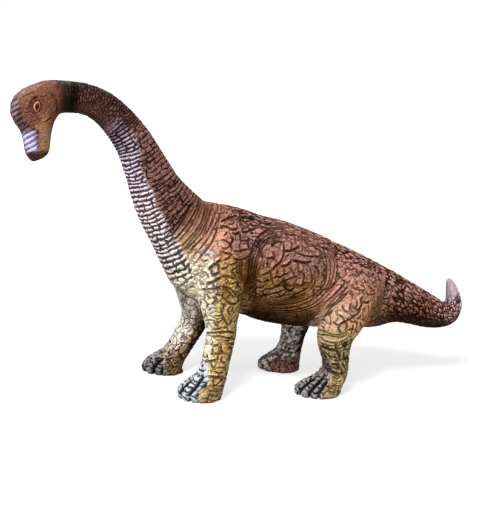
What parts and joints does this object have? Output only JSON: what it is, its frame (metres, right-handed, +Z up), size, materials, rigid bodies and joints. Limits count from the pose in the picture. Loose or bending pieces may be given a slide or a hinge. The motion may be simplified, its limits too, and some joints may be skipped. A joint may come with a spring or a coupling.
{
  "type": "toy dinosaur figure",
  "caption": "Soft vinyl long-necked dinosaur toy, walking, with arched neck, hanging head, round barrel body and short tail curled up at its tip.",
  "frame": {"origin": "middle of the figure's bounding box, on the surface that it stands on", "axes": "+X towards the tail, along the figure's length; +Y towards the animal's right side; +Z up"},
  "size_m": [0.4682, 0.1068, 0.2698],
  "materials": {
    "body_vinyl": "reddish brown vinyl, sprayed, dark wash in cracked scales",
    "neck_vinyl": "brown above, cream lilac ribs in front, dark wash",
    "head_vinyl": "brown vinyl, finely wrinkled, painted eyes",
    "tail_vinyl": "mauve brown vinyl, long cracked scales",
    "leg_vinyl": "ochre and cream vinyl, dark grey toes"
  },
  "bodies": {
    "root": {"torso_shell": "body_vinyl", "neck_shell": "neck_vinyl", "head_shell": "head_vinyl", "tail_shell": "tail_vinyl", "fore_leg_left": "leg_vinyl", "fore_leg_right": "leg_vinyl", "hind_leg_left": "leg_vinyl", "hind_leg_right": "leg_vinyl"}
  },
  "joints": []
}
